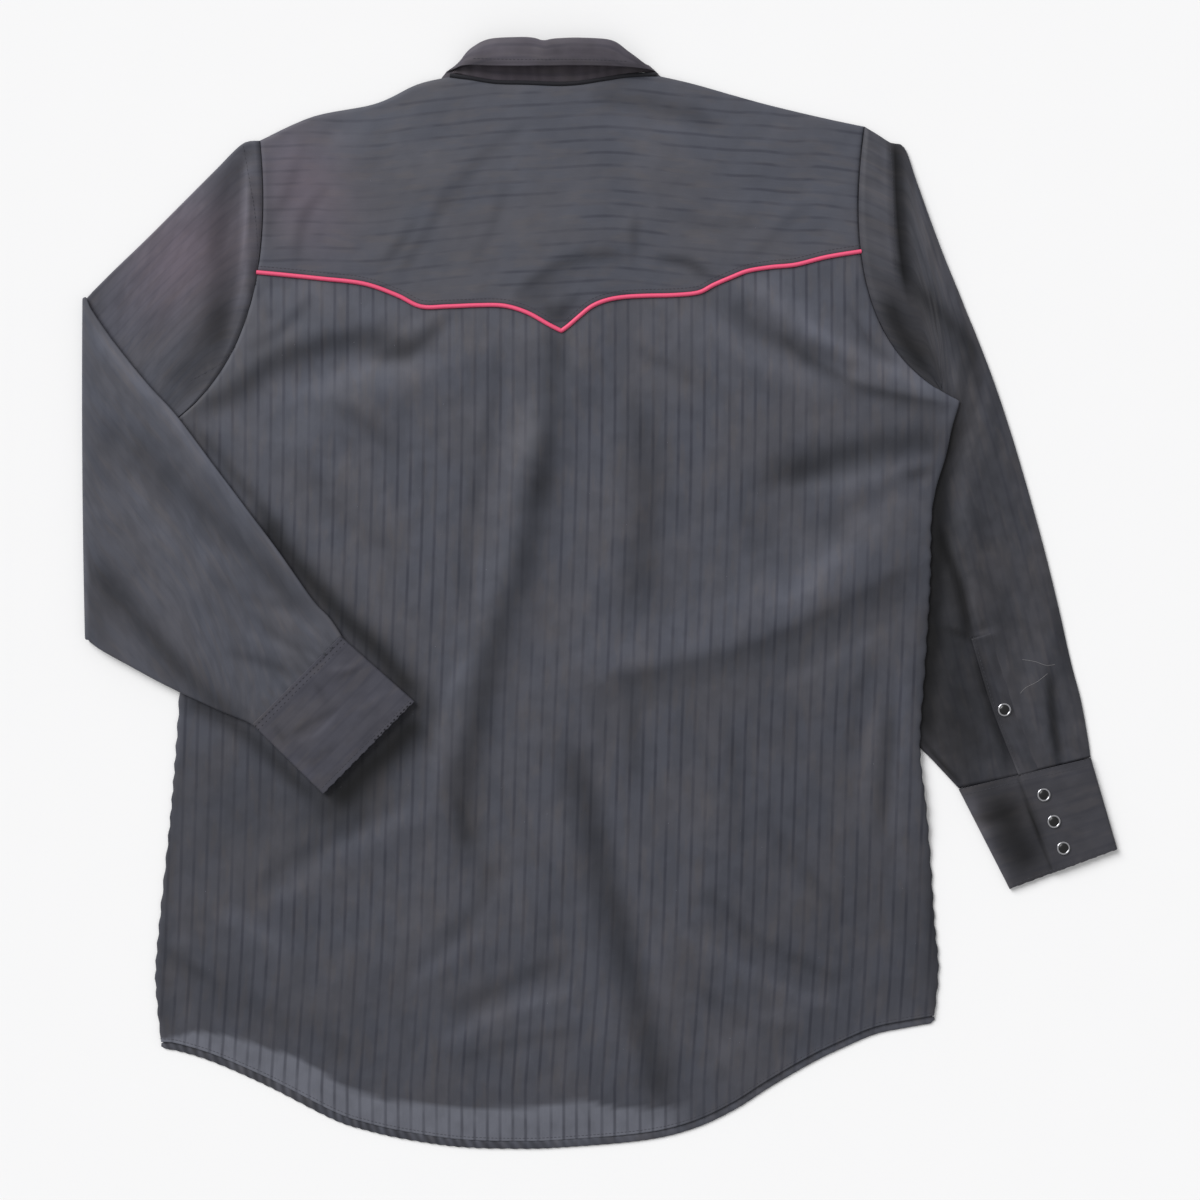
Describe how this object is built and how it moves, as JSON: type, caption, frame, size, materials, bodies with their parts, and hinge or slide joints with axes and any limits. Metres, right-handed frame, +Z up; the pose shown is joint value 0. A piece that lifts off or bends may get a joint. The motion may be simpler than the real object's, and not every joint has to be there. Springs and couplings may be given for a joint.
{
  "type": "western snap shirt",
  "caption": "Long-sleeved western shirt in semi-sheer striped charcoal cloth, laid flat with its back up, with a pointed piped yoke, snap cuffs and a sleeve folded over the back",
  "frame": {"origin": "on the floor under the centre of the shirt's outline as it lies", "axes": "+X to the right of the shirt as it lies back up, +Y towards the collar, +Z up"},
  "size_m": [0.8166, 0.8743, 0.0165],
  "materials": {
    "shirt_cloth": "satin",
    "piping": "satin",
    "snap_metal": "polished",
    "snap_cap": "gloss"
  },
  "bodies": {
    "root": {"back_panel": "shirt_cloth", "back_yoke": "shirt_cloth", "collar_leaf": "shirt_cloth", "collar_stand": "shirt_cloth", "front_band": "shirt_cloth", "front_left": "shirt_cloth", "front_right": "shirt_cloth", "front_snap_1": "snap_metal", "front_snap_2": "snap_metal", "front_snap_3": "snap_metal", "front_snap_4": "snap_metal", "front_snap_5": "snap_metal", "front_snap_6": "snap_metal", "left_cuff": "shirt_cloth", "left_cuff_snap_1": "snap_metal", "left_cuff_snap_2": "snap_metal", "left_cuff_snap_3": "snap_metal", "left_sleeve": "shirt_cloth", "right_cuff": "shirt_cloth", "right_cuff_snap_1_cap": "snap_cap", "right_cuff_snap_1_ring": "snap_metal", "right_cuff_snap_2_cap": "snap_cap", "right_cuff_snap_2_ring": "snap_metal", "right_cuff_snap_3_cap": "snap_cap", "right_cuff_snap_3_ring": "snap_metal", "right_placket_snap_cap": "snap_cap", "right_placket_snap_ring": "snap_metal", "right_sleeve": "shirt_cloth", "right_sleeve_placket": "shirt_cloth", "yoke_piping": "piping"}
  },
  "joints": []
}
